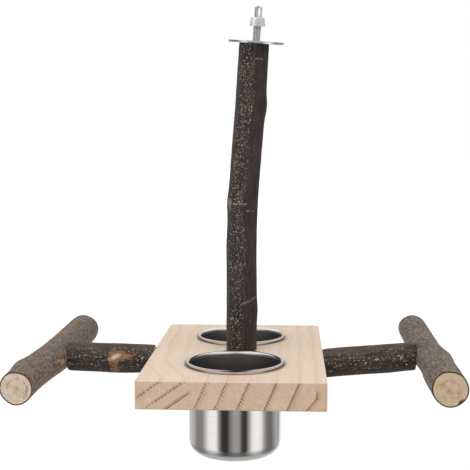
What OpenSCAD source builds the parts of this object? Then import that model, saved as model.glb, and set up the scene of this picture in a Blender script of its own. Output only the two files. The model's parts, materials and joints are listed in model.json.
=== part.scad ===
// Bird perch with two drop-in food cups and two T-shaped perches, hung from a cage roof.
// Sizes are millimetres. The origin is the centre of the seat washer's top face, where the
// cage wires lie. X runs across both perches, Y along the board's grain and Z up.

/* [Board] */
// Width of the board, from perch to perch
board_w = 120; // [110:1:170]
// Depth of the board, along its grain
board_l = 200; // [190:1:260]
// Thickness of the board
board_t = 18; // [15:1:24]
// Radius of the board's two front corners
board_corner_r = 2.5; // [1:0.5:8]
// Radius of the board's two back corners
board_back_r = 6.5; // [1:0.5:10]
// Radius of the eased top and bottom edges
board_edge_r = 0.8; // [0.4:0.2:3]

/* [Food cups] */
// Outer diameter of a cup's body
cup_d = 62; // [50:1:66]
// Depth of a cup's base below the board's top face
cup_depth = 60; // [40:1:90]
// Thickness of the cup's sheet
cup_wall = 0.6; // [0.5:0.1:1.2]
// Outer radius of the curve between wall and base
cup_corner_r = 10; // [5:0.5:16]
// How far the rim stands out beyond the body
rim_overhang = 2.5; // [2.25:0.25:5]
// Height of the rim above the board
rim_h = 2.0; // [1.9:0.1:4]
// Gap all round between a cup and its hole
cup_clear = 0.8; // [0.4:0.1:1.5]
// Wood left between the two rims, where the post stands
cup_land = 26; // [25:0.5:34]

/* [Post] */
// Height of the post above the board
post_l = 216; // [150:1:300]
// Mean diameter of the post
post_d = 21; // [17:0.5:22]
// Sideways place of the post's foot
post_foot_x = 2.3; // [-8:0.1:8]
// Sideways travel of the post from its foot to its top
post_sway = 8.8; // [0:0.2:20]
// Backward bow of the post's upper half
post_bow = 4; // [0:0.5:8]
// Lean of the sawn top and of the stud to the right, in degrees
post_lean = 4; // [0:0.5:6]
// Lean of the sawn top and of the stud to the front, in degrees
post_nod = 5; // [0:0.5:6]

/* [Perch arms] */
// Length of the left arm
left_arm_l = 62.5; // [50:0.5:110]
// Length of the right arm
right_arm_l = 65.5; // [50:0.5:110]
// Mean diameter of both arms
arm_d = 20.2; // [17:0.2:22]
// Height of the left arm's outer end above the board's mid plane
left_arm_rise = 2.8; // [0:0.1:5]
// Height of the right arm's outer end above the board's mid plane
right_arm_rise = 5.9; // [0:0.1:7]

/* [Crossbars] */
// Length of the left crossbar
left_bar_l = 201; // [120:1:260]
// Length of the right crossbar
right_bar_l = 198; // [120:1:260]
// Mean diameter of the left crossbar
left_bar_d = 23.4; // [20:0.2:26]
// Mean diameter of the right crossbar
right_bar_d = 22.4; // [20:0.2:26]
// Depth of the flat cut where an arm meets its crossbar
bar_notch = 1.5; // [0.5:0.25:3]

/* [Cage clamp] */
// Diameter of the stud
stud_d = 6; // [5:1:8]
// Sideways place of the stud on the post's sawn top
stud_offset = 1.2; // [-3:0.2:3]
// Length of the stud above the washer
stud_l = 23.5; // [22:0.5:40]
// Depth of the stud's wood thread in the post
stud_root_l = 38; // [25:1:60]
// Diameter of the seat washer
washer_d = 38.5; // [30:0.5:45]
// Thickness of the seat washer
washer_t = 1.8; // [1:0.1:2.5]
// Open space between washer and wing nut
clamp_gap = 10; // [5:0.5:12]
// Height of the wing nut's hub
hub_h = 6; // [5:0.5:8]
// Diameter of the hub's foot
hub_d = 11.5; // [11:0.5:14]
// Span over both wings
wing_span = 26; // [22:0.5:32]
// Height of the wings above the hub's foot
wing_h = 12; // [10:0.25:14]
// Thickness of the wings
wing_t = 2.6; // [1.5:0.1:4]
// Turn of the wing nut on the stud, in degrees
wing_turn = 6; // [-45:1:45]

/* [Wood screws] */
// Diameter of the screws in the post's foot and between board and arms
big_screw_d = 5; // [4:0.5:6]
// Depth of the big screws in each piece of wood
big_screw_grip = 26; // [15:1:40]
// Diameter of the screws through the crossbars
bar_screw_d = 4; // [3:0.5:5]
// Depth of the crossbar screws in the arms
bar_screw_grip = 24; // [15:1:40]

/* [Bark surface] */
// Sides of a branch's outline
bark_sides = 26; // [16:2:40]
// Spacing of the outlines along a branch
bark_step = 5.5; // [4:0.5:12]

/* [Hidden] */
$fn = 64;

pine = [0.90, 0.78, 0.62];
steel = [0.75, 0.75, 0.76];
zinc = [0.70, 0.71, 0.73];
dark_bark = [0.24, 0.20, 0.18];
grey_bark = [0.42, 0.38, 0.34];

cut = 1;            // how far a cutting solid runs past the face that it opens
screw_clear = 0.05; // radial gap of a screw in its pilot hole
spin_clear = 0.25;  // radial gap of the washer on the stud
nut_clear = 0.08;   // radial gap of the wing nut on the stud

cup_r = cup_d / 2;
rim_r = cup_r + rim_overhang;
cup_hole_r = cup_r + cup_clear;
cup_y = rim_r + cup_land / 2;

stud_x = post_foot_x + post_sway + stud_offset;
stud_axis = [sin(post_lean) * cos(post_nod), -sin(post_nod), cos(post_lean) * cos(post_nod)];
seat = [stud_x, 0, post_l] + washer_t * stud_axis;
top_slant = post_d / 2 * (sin(post_lean) + sin(post_nod));

board_mid_z = -board_t / 2;
left_seat_x = -board_w / 2 - left_arm_l;
right_seat_x = board_w / 2 + right_arm_l;
left_bar_z = board_mid_z + left_arm_rise;
right_bar_z = board_mid_z + right_arm_rise;
left_bar_x = left_seat_x - left_bar_d / 2 + bar_notch;
right_bar_x = right_seat_x + right_bar_d / 2 - bar_notch;

tip_l = 4;              // pointed end of every wood screw
head_h = 2.4;           // height of a countersunk head
head_r = bar_screw_d;   // radius of a countersunk head
head_sink = 1.6;        // depth of the head below the crossbar's mean outline
pan_h = 3.2;            // height of the pan head under the board
pan_r = 4.6;            // radius of the pan head
small_washer_r = 7.5;
small_washer_t = 1.2;

// Frames of the parts

// Board frame: origin at the centre of the board's top face
module in_board_frame() translate(-seat) children();

// Stud frame: origin at the seat, Z along the leaning stud
module in_stud_frame() rotate([post_nod, post_lean, 0]) children();

// Branch shapes

// One rounded hump, 1 high at its middle
function hump(s) = exp(-s * s);

// Smallest turn between two directions, in degrees
function turn(a, b) = abs(((a - b) % 360 + 540) % 360 - 180);

// A value that runs smoothly through a list of [share of the length, value]
function eased(t, stops, soft = 0.06) =
    (lookup(t - soft, stops) + 2 * lookup(t, stops) + lookup(t + soft, stops)) / 4;

// How far the knots lift the bark at share t of the length and direction a.
// Each knot is [share, direction, height, reach along the branch, reach around it].
function knot_rise(t, a, len, knots, i = 0) =
    i == len(knots) ? 0 :
    knots[i][2] * hump((t - knots[i][0]) * len / knots[i][3])
        * hump(turn(a, knots[i][1]) / knots[i][4])
    + knot_rise(t, a, len, knots, i + 1);

// Radius of the bark: mean girth, a slightly oval section, shallow flutes and knots
function bark_r(t, a, len, d, girth, knots, oval) =
    d / 2 * eased(t, girth) * (1 + oval * cos(2 * a + 90 * t))
    + 0.12 * sin(5 * a + 200 * t) + 0.08 * sin(3 * a - 330 * t)
    + knot_rise(t, a, len, knots);

// A branch that grows along +Z. Both ends are sawn square to Z, while the middle line
// wanders sideways by side_line (X) and up_line (Y).
module branch(len, d, side_line, up_line, girth, knots, oval = 0.015) {
    rings = ceil(len / bark_step);
    points = [
        for (i = [0:rings], j = [0:bark_sides - 1])
            let (
                t = i / rings,
                a = 360 * j / bark_sides,
                r = bark_r(t, a, len, d, girth, knots, oval)
            )
            [eased(t, side_line) + r * cos(a), eased(t, up_line) + r * sin(a), t * len]
    ];
    walls = [
        for (i = [0:rings - 1], j = [0:bark_sides - 1])
            let (
                a = i * bark_sides + j,
                b = i * bark_sides + (j + 1) % bark_sides,
                c = a + bark_sides,
                e = b + bark_sides
            )
            each [[a, c, b], [b, c, e]]
    ];
    foot = [for (j = [0:bark_sides - 1]) j];
    top = [for (j = [bark_sides - 1:-1:0]) rings * bark_sides + j];
    polyhedron(points, concat(walls, [foot], [top]));
}

// Screws

// Pilot hole or clearance hole of radius r from z = 0 to z = depth
module hole(r, depth) translate([0, 0, -cut]) cylinder(r = r, h = depth + cut);

// Plain core of a wood screw with its point, from z = 0 up to z = len
module screw_core(r, len) {
    cylinder(r = r, h = len - tip_l);
    translate([0, 0, len - tip_l]) cylinder(r1 = r, r2 = 0.4, h = tip_l);
}

// Board

module rounded_plate(size, r) {
    x = size[0] / 2 - r;
    y = size[1] / 2 - r;
    square([size[0], 2 * y], center = true);
    square([2 * x, size[1]], center = true);
    for (sx = [-1, 1], sy = [-1, 1]) translate([sx * x, sy * y]) circle(r = r);
}

// The board seen from above; its back corners are rounder than its front ones
module board_plan() {
    spare = 20;
    intersection() {
        translate([0, spare / 2]) rounded_plate([board_w, board_l + spare], board_corner_r);
        translate([0, -spare / 2]) rounded_plate([board_w, board_l + spare], board_back_r);
    }
}

module board_blank() intersection() {
    translate([0, 0, -board_t]) linear_extrude(board_t) board_plan();
    translate([0, 0, board_mid_z]) rotate([90, 0, 0])
        linear_extrude(board_l + cut, center = true)
            rounded_plate([board_w, board_t], board_edge_r);
    translate([0, 0, board_mid_z]) rotate([90, 0, 90])
        linear_extrude(board_w + cut, center = true)
            rounded_plate([board_l, board_t], board_edge_r);
}

module board() color(pine) in_board_frame() difference() {
    board_blank();
    for (side = [-1, 1]) translate([0, side * cup_y, -board_t - cut])
        cylinder(r = cup_hole_r, h = board_t + 2 * cut);
    translate([post_foot_x, 0, -board_t]) hole(big_screw_d / 2 + screw_clear, board_t + cut);
    for (side = [-1, 1]) translate([side * board_w / 2, 0, board_mid_z])
        rotate([0, -90 * side, 0]) hole(big_screw_d / 2 + screw_clear, big_screw_grip);
}

// Cups

// Half section of a cup of radius r whose base lies at z = -depth
module cup_half(r, depth, corner, top) {
    translate([0, -depth + corner]) square([r, depth - corner + top]);
    translate([0, -depth]) square([r - corner, corner + cut]);
    translate([r - corner, -depth + corner]) circle(r = corner);
}

// The sheet is rolled outwards over a round arch, and its edge rests on the board
module rim_half() {
    arch_r = (rim_overhang + cup_wall) / 2;
    arch_z = rim_h - arch_r;
    translate([rim_r - arch_r, arch_z]) difference() {
        circle(r = arch_r);
        circle(r = arch_r - cup_wall);
        translate([-2 * arch_r, -2 * arch_r]) square([4 * arch_r, 2 * arch_r]);
    }
    translate([rim_r - cup_wall, 0]) square([cup_wall, arch_z]);
}

module cup(side) color(steel) in_board_frame() translate([0, side * cup_y, 0])
    rotate_extrude() {
        wall_top = rim_h - (rim_overhang + cup_wall) / 2;
        intersection() {
            difference() {
                cup_half(cup_r, cup_depth, cup_corner_r, wall_top);
                cup_half(cup_r - cup_wall, cup_depth - cup_wall, cup_corner_r - cup_wall, rim_h);
            }
            translate([0, -2 * cup_depth]) square([2 * cup_r, 2 * cup_depth + wall_top]);
        }
        rim_half();
    }

module cup_front() cup(-1);
module cup_back() cup(1);

// Post and its screw

// The post bends to the right above its middle, and its upper half bows a little to the back.
// It has a worn knot at mid height on the left and lower swellings on the right.
module post() color(dark_bark) difference() {
    in_board_frame() translate([post_foot_x, 0, 0]) branch(
        len = post_l + top_slant + cut,
        d = post_d,
        side_line = [[0, 0], [0.30, 0], [0.46, 0.04 * post_sway], [0.66, 0.39 * post_sway],
            [0.80, 0.67 * post_sway], [1, post_sway], [1.1, 1.15 * post_sway]],
        up_line = [[0, 0], [0.38, 0], [0.7, post_bow], [0.85, 0.8 * post_bow],
            [1, 0], [1.1, -0.5 * post_bow]],
        girth = [[0, 1.01], [0.2, 1.01], [0.35, 0.99], [0.55, 1.0], [0.9, 1.0], [1, 0.99]],
        knots = [
            [0.485, 205, 1.3, 6, 30],
            [0.79, 5, 1.4, 7, 42],
            [0.13, 0, 0.7, 6, 40],
            [0.33, 185, 0.4, 9, 40]
        ]);
    in_stud_frame() {
        translate([-washer_d, -washer_d, -washer_t]) cube([2 * washer_d, 2 * washer_d, washer_d]);
        rotate([180, 0, 0]) hole(stud_d / 2 + screw_clear, stud_root_l + washer_t);
    }
    in_board_frame() translate([post_foot_x, 0, 0])
        hole(big_screw_d / 2 + screw_clear, big_screw_grip);
}

module post_screw() color(zinc) in_board_frame()
    translate([post_foot_x, 0, -board_t - small_washer_t]) {
        screw_core(big_screw_d / 2, big_screw_grip + board_t + small_washer_t);
        // Pan head: a low dome over a straight edge, with a cross recess
        translate([0, 0, -pan_h]) difference() {
            intersection() {
                cylinder(r = pan_r, h = pan_h);
                translate([0, 0, 2 * pan_h]) sphere(r = 2 * pan_h);
            }
            for (a = [0, 90]) rotate(a) translate([-2, -0.5, -cut]) cube([4, 1, cut + 1.6]);
        }
    }

module post_screw_washer() color(zinc) in_board_frame()
    translate([post_foot_x, 0, -board_t - small_washer_t]) difference() {
        cylinder(r = small_washer_r, h = small_washer_t);
        translate([0, 0, -cut])
            cylinder(r = big_screw_d / 2 + spin_clear, h = small_washer_t + 2 * cut);
    }

// Cage clamp on the post's top

module hanger_bolt() color(zinc) in_stud_frame() {
    chamfer = 0.8;
    translate([0, 0, -washer_t]) cylinder(d = stud_d, h = stud_l + washer_t - chamfer);
    translate([0, 0, stud_l - chamfer])
        cylinder(d1 = stud_d, d2 = stud_d - 2 * chamfer, h = chamfer);
    translate([0, 0, -washer_t]) rotate([180, 0, 0]) screw_core(stud_d / 2, stud_root_l);
}

module seat_washer() color(zinc) in_stud_frame()
    translate([0, 0, -washer_t]) difference() {
        cylinder(d = washer_d, h = washer_t);
        translate([0, 0, -cut])
            cylinder(r = stud_d / 2 + spin_clear, h = washer_t + 2 * cut);
    }

// One wing, seen from the side: a round ear on a web that rises from the hub
module wing_outline() {
    ear_r = wing_h * 0.34;
    ear_y = wing_span / 2 - ear_r;
    ear_z = wing_h - ear_r;
    translate([ear_y, ear_z]) circle(r = ear_r);
    polygon([
        [hub_d * 0.3, 0.6], [hub_d * 0.5, 0.6],
        [ear_y + ear_r * 0.6, ear_z - ear_r * 0.8],
        [ear_y - ear_r * 0.6, ear_z + ear_r * 0.8],
        [hub_d * 0.3, hub_h - 0.4]
    ]);
}

module wing_nut() color(zinc) in_stud_frame() translate([0, 0, clamp_gap]) rotate(wing_turn)
    difference() {
        union() {
            cylinder(d1 = hub_d, d2 = hub_d * 0.84, h = hub_h);
            rotate([90, 0, 90]) linear_extrude(wing_t, center = true) {
                wing_outline();
                mirror([1, 0]) wing_outline();
            }
        }
        translate([0, 0, -cut]) cylinder(r = stud_d / 2 + nut_clear, h = wing_h + 2 * cut);
    }

// Perch arms

// The left arm has a wide pruning scar that swells on its front
module left_arm() color(dark_bark) in_board_frame() difference() {
    translate([-board_w / 2, 0, board_mid_z]) rotate([90, 0, -90]) branch(
        len = left_arm_l,
        d = arm_d,
        side_line = [[0, 0], [0.5, 0.4], [1, 0]],
        up_line = [[0, 1.8], [0.5, 2.2], [1, left_arm_rise]],
        girth = [[0, 0.99], [0.4, 1.04], [0.7, 1.01], [1, 0.98]],
        knots = [[0.38, 10, 1.0, 10, 45], [0.8, 110, 0.4, 8, 40]]);
    left_arm_drillings();
}

module right_arm() color(dark_bark) in_board_frame() difference() {
    translate([board_w / 2, 0, board_mid_z]) rotate([90, 0, 90]) branch(
        len = right_arm_l,
        d = arm_d,
        side_line = [[0, 0], [0.5, -0.4], [1, 0]],
        up_line = [[0, -0.4], [1, right_arm_rise]],
        girth = [[0, 1.01], [0.5, 1.0], [1, 0.98]],
        knots = [[0.25, 80, 0.3, 8, 40], [0.7, 250, 0.4, 10, 50]]);
    right_arm_drillings();
}

module left_arm_drillings() {
    translate([-board_w / 2, 0, board_mid_z]) rotate([0, -90, 0])
        hole(big_screw_d / 2 + screw_clear, big_screw_grip);
    translate([left_seat_x, 0, left_bar_z]) rotate([0, 90, 0])
        hole(bar_screw_d / 2 + screw_clear, bar_screw_grip);
}

module right_arm_drillings() {
    translate([board_w / 2, 0, board_mid_z]) rotate([0, 90, 0])
        hole(big_screw_d / 2 + screw_clear, big_screw_grip);
    translate([right_seat_x, 0, right_bar_z]) rotate([0, -90, 0])
        hole(bar_screw_d / 2 + screw_clear, bar_screw_grip);
}

// Double-ended screw, half in the board and half in an arm
module arm_screw(side) color(zinc) in_board_frame()
    translate([side * board_w / 2, 0, board_mid_z])
        for (end = [-1, 1]) rotate([0, 90 * end, 0]) screw_core(big_screw_d / 2, big_screw_grip);

module left_arm_screw() arm_screw(-1);
module right_arm_screw() arm_screw(1);

// Crossbars

// Flat for the arm's end and countersunk hole for the screw, seen from the crossbar's
// middle line with the arm towards +X
module bar_cuts(bar_d) {
    seat = bar_d / 2 - bar_notch;
    outer = bar_d / 2;
    translate([seat, -arm_d * 0.6, -arm_d * 0.6]) cube([bar_d, arm_d * 1.2, arm_d * 1.2]);
    translate([-bar_d, 0, 0]) rotate([0, 90, 0])
        cylinder(r = bar_screw_d / 2 + screw_clear, h = 2 * bar_d);
    translate([-outer + head_sink, 0, 0]) rotate([0, 90, 0])
        cylinder(r1 = head_r + screw_clear, r2 = bar_screw_d / 2 + screw_clear, h = head_h);
    translate([-outer + head_sink, 0, 0]) rotate([0, -90, 0])
        cylinder(r = head_r + screw_clear, h = bar_d);
}

// Countersunk screw from the crossbar's outer side into the arm's end
module bar_screw(bar_d) {
    start = -bar_d / 2 + head_sink;
    reach = bar_d - bar_notch - head_sink + bar_screw_grip;
    translate([start, 0, 0]) rotate([0, 90, 0]) difference() {
        union() {
            cylinder(r1 = head_r, r2 = bar_screw_d / 2, h = head_h);
            translate([0, 0, head_h]) screw_core(bar_screw_d / 2, reach - head_h);
        }
        for (a = [0, 90]) rotate(a) translate([-1.6, -0.4, -cut]) cube([3.2, 0.8, cut + 1.2]);
    }
}

// Both crossbars are built from their back end to their front end, with local Y upwards
module left_crossbar() color(grey_bark) in_board_frame()
    translate([left_bar_x, 0, left_bar_z]) difference() {
        translate([0, left_bar_l / 2, 0]) rotate([90, 0, 0]) branch(
            len = left_bar_l,
            d = left_bar_d,
            side_line = [[0, 0.7], [0.5, 0.2], [0.7, -0.6], [0.85, -1.4], [1, -1.6]],
            up_line = [[0, 1.1], [0.25, 0.1], [0.5, -0.3], [0.7, 0.9], [0.85, 1.7], [1, 0.5]],
            girth = [[0, 1.04], [0.3, 1.02], [0.5, 1.01], [0.6, 0.97], [0.75, 0.94],
                [0.88, 0.94], [1, 0.91]],
            knots = [[0.85, 135, 1.1, 9, 50], [0.15, 330, 0.5, 12, 50]]);
        bar_cuts(left_bar_d);
    }

module right_crossbar() color(grey_bark) in_board_frame()
    translate([right_bar_x, 0, right_bar_z]) difference() {
        translate([0, right_bar_l / 2, 0]) rotate([90, 0, 0]) branch(
            len = right_bar_l,
            d = right_bar_d,
            side_line = [[0, -0.1], [0.5, 0.1], [0.65, 0.9], [0.8, 0.1], [1, -0.3]],
            up_line = [[0, 1.7], [0.25, 0.5], [0.5, -0.1], [0.65, 0.7], [0.8, 0.2], [1, 0.1]],
            girth = [[0, 0.98], [0.5, 0.98], [0.65, 1.01], [0.8, 1.05], [0.9, 1.04], [1, 1.02]],
            knots = [[0.66, 35, 0.9, 8, 45], [0.3, 150, 0.5, 12, 50]]);
        mirror([1, 0, 0]) bar_cuts(right_bar_d);
    }

module left_crossbar_screw() color(zinc) in_board_frame()
    translate([left_bar_x, 0, left_bar_z]) bar_screw(left_bar_d);

module right_crossbar_screw() color(zinc) in_board_frame()
    translate([right_bar_x, 0, right_bar_z]) mirror([1, 0, 0]) bar_screw(right_bar_d);

board();
cup_front();
cup_back();
post();
post_screw();
post_screw_washer();
hanger_bolt();
seat_washer();
wing_nut();
left_arm();
right_arm();
left_arm_screw();
right_arm_screw();
left_crossbar();
right_crossbar();
left_crossbar_screw();
right_crossbar_screw();
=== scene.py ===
"""Bird perch stand: the looks of its pine board, bark branches, steel cups and cage clamp."""

import json
import math

import bpy
import numpy as np
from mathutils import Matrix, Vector, noise


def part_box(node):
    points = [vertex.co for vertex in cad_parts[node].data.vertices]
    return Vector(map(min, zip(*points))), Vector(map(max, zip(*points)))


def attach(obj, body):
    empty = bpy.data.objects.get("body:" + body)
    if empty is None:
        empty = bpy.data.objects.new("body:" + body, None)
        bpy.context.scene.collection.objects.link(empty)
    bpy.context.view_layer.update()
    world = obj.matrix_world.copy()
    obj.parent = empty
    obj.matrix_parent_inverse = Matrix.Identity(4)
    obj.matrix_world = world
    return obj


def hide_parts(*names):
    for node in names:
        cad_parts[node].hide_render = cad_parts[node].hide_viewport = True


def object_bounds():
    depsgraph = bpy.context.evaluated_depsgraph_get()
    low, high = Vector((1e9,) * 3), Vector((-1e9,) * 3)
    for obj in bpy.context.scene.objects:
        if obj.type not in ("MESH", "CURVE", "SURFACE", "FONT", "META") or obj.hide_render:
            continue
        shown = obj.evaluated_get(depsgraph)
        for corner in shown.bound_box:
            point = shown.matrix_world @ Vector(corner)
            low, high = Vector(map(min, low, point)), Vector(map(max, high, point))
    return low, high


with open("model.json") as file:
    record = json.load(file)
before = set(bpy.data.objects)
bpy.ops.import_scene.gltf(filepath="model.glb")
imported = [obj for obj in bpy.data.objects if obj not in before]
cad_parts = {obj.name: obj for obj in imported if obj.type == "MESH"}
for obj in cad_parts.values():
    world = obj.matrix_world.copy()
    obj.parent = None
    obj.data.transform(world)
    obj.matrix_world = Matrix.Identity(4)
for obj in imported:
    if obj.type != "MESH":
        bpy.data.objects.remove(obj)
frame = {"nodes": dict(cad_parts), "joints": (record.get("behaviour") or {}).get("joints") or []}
cad_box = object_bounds()

MM = 0.001
PER_MM = 1 / MM

# Places that the frame gives

BOARD_LOW, BOARD_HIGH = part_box("board")
BOARD_TOP = Vector(((BOARD_LOW.x + BOARD_HIGH.x) / 2, 0.0, BOARD_HIGH.z))
BOARD_HALF = (BOARD_HIGH - BOARD_LOW) / 2
STUD_JOINT = next(j for j in frame["joints"] if j["name"] == "wing_nut_travel")
STUD_AXIS = Vector(STUD_JOINT["axis"]).normalized()
STUD_NOD = math.asin(-STUD_AXIS.y)
STUD_LEAN = math.atan2(STUD_AXIS.x, STUD_AXIS.z)

# Sizes that only the looks need, in metres

BARK_THICKNESS = 0.85 * MM
SAWN_INSETS = (2.2 * MM, 2.4 * MM)
RING_STEP = 3.0 * MM
BRANCH_SIDES = 36
CUP_AXIS = 46.5 * MM
CUP_SHEET = 0.6 * MM
CUP_INSIDE = 30.75 * MM
CUP_BASE_ROUND = 10 * MM
CUP_BASE_INSETS = (5 * MM, 9 * MM)
RIM_OVERHANG = 2.5 * MM
RIM_STEPS = 8
RIM_GAP = 0.05 * MM
RIM_SHADE_START = 31.9 * MM
RIM_SHADE_FULL = 32.9 * MM
STUD_HOLE = 3.25 * MM
WASHER_THICKNESS = 1.8 * MM
WASHER_EDGE = 0.4 * MM
THREAD_PITCH = 1.0 * MM
THREAD_DEPTH = 0.6 * MM
WOOD_THREAD_PITCH = 2.4 * MM
WOOD_THREAD_DEPTH = 0.8 * MM
THREAD_STEPS = 7
NUT_HUB_RADIUS = 5.75 * MM
NUT_HUB_HEIGHT = 6.0 * MM
NUT_TAPER = 0.84
NUT_TURN = math.radians(6)
FLOOR_DROP = 0.16
FLOOR_SIZE = 30.0

# Each wing of the nut, in millimetres: distance from the axis, middle height, half height and
# half thickness. The first row is the face of the hub that it grows from.

WING_SECTIONS = (
    (5.3, 3.0, 3.0, 2.2), (6.6, 4.2, 3.4, 1.3), (8.2, 6.3, 4.3, 1.3), (10.2, 7.8, 4.6, 1.3),
    (12.2, 8.0, 3.6, 1.3), (13.1, 8.0, 1.9, 0.975),
)

# Light: a white surface gets about 1 in all, a bit over half of it from the room

ROOM_LIGHT = 0.6
WHITE = (1.0, 1.0, 1.0, 1.0)


def rgb(red, green, blue):
    """A colour written as it shows on screen, 0 to 255, as the linear colour of a socket."""
    shown = [c / 255 for c in (red, green, blue)]
    return [c / 12.92 if c <= 0.04045 else ((c + 0.055) / 1.055) ** 2.4 for c in shown] + [1.0]


def grey(level):
    return (level, level, level, 1.0)


# Shader maths


def maths(operation, swapped=False):
    """Makes a method that adds one Math node, with its values swapped if asked."""

    def method(self, *others):
        values = (*others, self) if swapped else (self, *others)
        return self.graph.node("ShaderNodeMath", {"operation": operation}, values)

    return method


class Signal:
    """A value or vector in a node tree, with the arithmetic of the Math node."""

    def __init__(self, graph, socket):
        self.graph = graph
        self.socket = socket

    __add__ = __radd__ = maths("ADD")
    __sub__ = maths("SUBTRACT")
    __rsub__ = maths("SUBTRACT", swapped=True)
    __mul__ = __rmul__ = maths("MULTIPLY")
    __truediv__ = maths("DIVIDE")
    __pow__ = maths("POWER")
    sine = maths("SINE")
    size = maths("ABSOLUTE")
    larger = maths("MAXIMUM")
    smaller = maths("MINIMUM")
    # The direction of a pair of values, in radians
    angle = maths("ARCTAN2")

    def between(self, low, high):
        """0 at low and 1 at high, smooth and clamped; low may be the larger."""
        if low > high:
            return 1 - self.between(high, low)
        settings = {"interpolation_type": "SMOOTHSTEP", "clamp": True}
        values = {"Value": self, "From Min": low, "From Max": high}
        return self.graph.node("ShaderNodeMapRange", settings, values)

    def within(self, reach, soft):
        """1 while its size is less than reach, falling to 0 over a soft edge."""
        return self.size().between(reach + soft / 2, reach - soft / 2)


class Graph:
    """Builds a node tree, node by node."""

    def __init__(self, tree):
        self.tree = tree

    def node(self, kind, settings=None, inputs=(), output=0):
        """Adds one node: its settings first, then its sockets, which may be values or Signals."""
        made = self.tree.nodes.new(kind)
        for key, value in (settings or {}).items():
            setattr(made, key, value)
        pairs = inputs.items() if isinstance(inputs, dict) else enumerate(inputs)
        for key, value in pairs:
            self.feed(made.inputs[key], value)
        return Signal(self, made.outputs[output])

    def feed(self, socket, value):
        if isinstance(value, Signal):
            self.tree.links.new(value.socket, socket)
        else:
            socket.default_value = value

    def several(self, kind, inputs, names):
        """Adds one node and gives several of its outputs."""
        sockets = self.node(kind, None, inputs).socket.node.outputs
        return [Signal(self, sockets[name]) for name in names]

    def mix(self, share, first, second):
        """The first colour where share is 0 and the second where it is 1."""
        settings = {"data_type": "RGBA", "clamp_factor": True}
        return self.node("ShaderNodeMix", settings, {0: share, 6: first, 7: second}, 2)

    def join(self, share, first, second):
        """The first shader where share is 0 and the second where it is 1."""
        return self.node("ShaderNodeMixShader", None, (share, first, second))

    def layers(self, colour, *tones):
        """Lays tones over a colour from the lowest up, each as (share, tone)."""
        for share, tone in tones:
            colour = self.mix(share, colour, tone)
        return colour

    def moved(self, vector, scale=(1, 1, 1), location=(0, 0, 0)):
        """A Mapping node: scaled and then shifted."""
        values = {"Vector": vector, "Scale": scale, "Location": location}
        return self.node("ShaderNodeMapping", {"vector_type": "POINT"}, values)

    def parts(self, vector):
        return self.several("ShaderNodeSeparateXYZ", (vector,), ("X", "Y", "Z"))

    def noise(self, vector, scale=1.0, detail=3.0, roughness=0.55, distortion=0.0, shift=(0, 0, 0)):
        """Noise round 0.5. Three numbers as its scale stretch it, and the shift moves it."""
        if isinstance(scale, tuple):
            vector = self.moved(vector, scale, shift)
            scale = 1.0
        values = {
            "Vector": vector, "Scale": scale, "Detail": detail,
            "Roughness": roughness, "Distortion": distortion,
        }
        return self.node("ShaderNodeTexNoise", None, values)

    def cells(self, vector, output="Distance"):
        return self.node("ShaderNodeTexVoronoi", None, {"Vector": vector, "Scale": 1.0}, output)

    def ramp(self, share, stops):
        """The level that (place, level) stops give where the share is 0 to 1."""
        colour = self.node("ShaderNodeValToRGB", None, (share,))
        elements = colour.socket.node.color_ramp.elements
        while len(elements) < len(stops):
            elements.new(0.5)
        for element, (place, level) in zip(elements, stops):
            element.position = place
            element.color = grey(level)
        return self.parts(colour)[0]

    def ray_kinds(self):
        names = ("Is Camera Ray", "Is Glossy Ray", "Is Transmission Ray")
        return self.several("ShaderNodeLightPath", (), names)


class Finish(Graph):
    """One procedural material."""

    def __init__(self, name):
        self.material = bpy.data.materials.new(name)
        self.material.use_nodes = True
        super().__init__(self.material.node_tree)
        self.shader = self.tree.nodes["Principled BSDF"]

    def set(self, **sockets):
        """Sets the shader's own sockets, written with underscores."""
        for name, value in sockets.items():
            self.feed(self.shader.inputs[name.replace("_", " ")], value)

    def place(self):
        """Object coordinates, in metres."""
        return self.node("ShaderNodeTexCoord", None, (), "Object")

    def straight(self):
        """The straightened coordinates of a branch, in millimetres."""
        return self.node("ShaderNodeAttribute", {"attribute_name": "straight"}, (), "Vector")

    def bump(self, height, depth, strength):
        """Adds relief and gives the material. Height is 0 to 1, and depth is the real height
        of 1, in metres."""
        values = {"Strength": strength, "Distance": depth, "Height": height}
        self.set(Normal=self.node("ShaderNodeBump", None, values))
        return self.material


def distance(across, ahead):
    return (across * across + ahead * ahead) ** 0.5


# Pine

# Growth rings of the two glued staves, as they meet the top edge of the front face: in
# millimetres across the wide stave, and in millimetres across the rings of the narrow one

STAVE_JOINT = -23.0
WIDE_RINGS = (-15.6, -2.9, 11.1, 28.2, 42.4, 53.0)
NARROW_RINGS = (20.3, 30.6, 41.5)
DRY_CRACKS = (10.9,)
WIDE_SHAPE = ((-0.6, 0.0), (-0.1, 1.0), (0.7, 0.95), (1.5, 0.55), (4.2, 0.0))
NARROW_SHAPE = ((-1.5, 0.0), (-0.5, 0.9), (0.5, 1.0), (1.5, 0.0))
CRACK_SHAPE = ((-0.9, 0.0), (-0.4, 1.0), (0.2, 1.0), (0.5, 0.2), (0.9, 0.3), (1.3, 0.7), (1.7, 0.0))


def rings(f, across, low, high, *kinds):
    """The level of growth rings between low and high: each kind has its places and the shape
    of a ring there, in (offset, level) pairs."""
    stops = [(0.0, 0.0)] + [
        ((place + offset - low) / (high - low), level)
        for places, shape in kinds for place in places for offset, level in shape
    ]
    return f.ramp((across - low) / (high - low), stops)


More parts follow.
